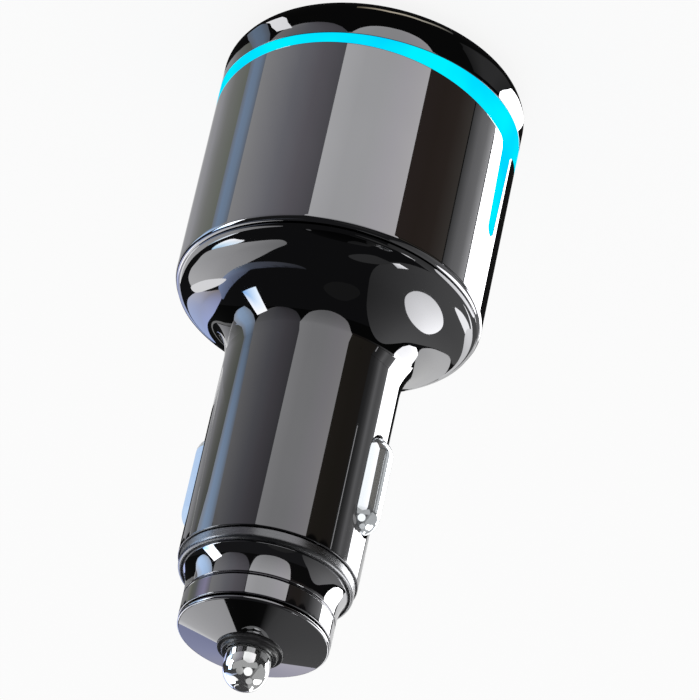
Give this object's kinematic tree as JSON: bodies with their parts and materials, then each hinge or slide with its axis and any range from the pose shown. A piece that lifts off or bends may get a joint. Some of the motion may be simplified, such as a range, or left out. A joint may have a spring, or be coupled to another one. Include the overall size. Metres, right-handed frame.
{
  "type": "car usb charger plug",
  "caption": "Dark chrome 12 V car charger plug: round head with a glowing ring, USB ports in its face, sprung side contacts and a sprung centre pin.",
  "frame": {"origin": "centre of the head's flat rim, the face that holds the ports, which the plug stands on", "axes": "+Z along the plug from the port face to the centre pin; X runs through the two side contacts; Y runs through the two sockets"},
  "size_m": [0.0364, 0.0364, 0.085],
  "materials": {
    "dark_chrome": "mirror-bright dark chrome plating",
    "rim_gloss": "piano black",
    "port_satin": "fine satin",
    "light_guide": "glowing translucent",
    "collar_satin": "satin",
    "contact_chrome": "polished nickel plating",
    "washer_black": "satin",
    "spring_steel": "drawn wire",
    "brass": "stamped",
    "carrier_plastic": "moulded",
    "board_laminate": "solder mask",
    "port_steel": "nickel-plated sheet",
    "tongue_plastic": "moulded",
    "tongue_black": "moulded",
    "gold_plate": "gold flash",
    "led_lens": "moulded lens",
    "ferrite": "pressed",
    "capacitor_can": "sleeved",
    "chip_epoxy": "moulded",
    "fuse_ceramic": "fired"
  },
  "bodies": {
    "housing": {"rim_cap": "rim_gloss", "port_plate": "port_satin", "light_ring": "light_guide", "head_shell": "dark_chrome", "barrel": "dark_chrome", "collar_ring": "collar_satin", "nose_sleeve": "dark_chrome", "end_cap": "dark_chrome", "pin_washer": "washer_black", "pin_spring": "spring_steel", "spring_cup": "brass", "side_spring_left": "spring_steel", "side_spring_right": "spring_steel", "ground_terminals": "brass", "board_carrier": "carrier_plastic", "port_board": "board_laminate", "main_board": "board_laminate", "wide_port_shell": "port_steel", "wide_port_tongue": "tongue_plastic", "wide_port_pins": "gold_plate", "oval_port_shell": "port_steel", "oval_port_tongue": "tongue_black", "oval_port_pins": "gold_plate", "ring_leds": "led_lens", "power_inductor": "ferrite", "output_capacitors": "capacitor_can", "input_capacitor": "capacitor_can", "controller_chip": "chip_epoxy", "power_transistors": "chip_epoxy", "board_fuse": "fuse_ceramic"},
    "pin": {"centre_pin": "contact_chrome"},
    "left_contact": {"side_contact_left": "contact_chrome"},
    "right_contact": {"side_contact_right": "contact_chrome"}
  },
  "joints": [
    {"name": "pin_slide", "type": "slide", "parent": "housing", "child": "pin", "axis": [0, 0, -1], "range_m": [0, 0.002], "stiffness_N_per_m": 1500, "springref_m": -0.001, "deforming": ["pin_spring"]},
    {"name": "left_contact_slide", "type": "slide", "parent": "housing", "child": "left_contact", "axis": [1, 0, 0], "range_m": [0, 0.00145], "stiffness_N_per_m": 2000, "springref_m": -0.0005, "deforming": ["side_spring_left"]},
    {"name": "right_contact_slide", "type": "slide", "parent": "housing", "child": "right_contact", "axis": [-1, 0, 0], "range_m": [0, 0.00145], "stiffness_N_per_m": 2000, "springref_m": -0.0005, "deforming": ["side_spring_right"]}
  ]
}
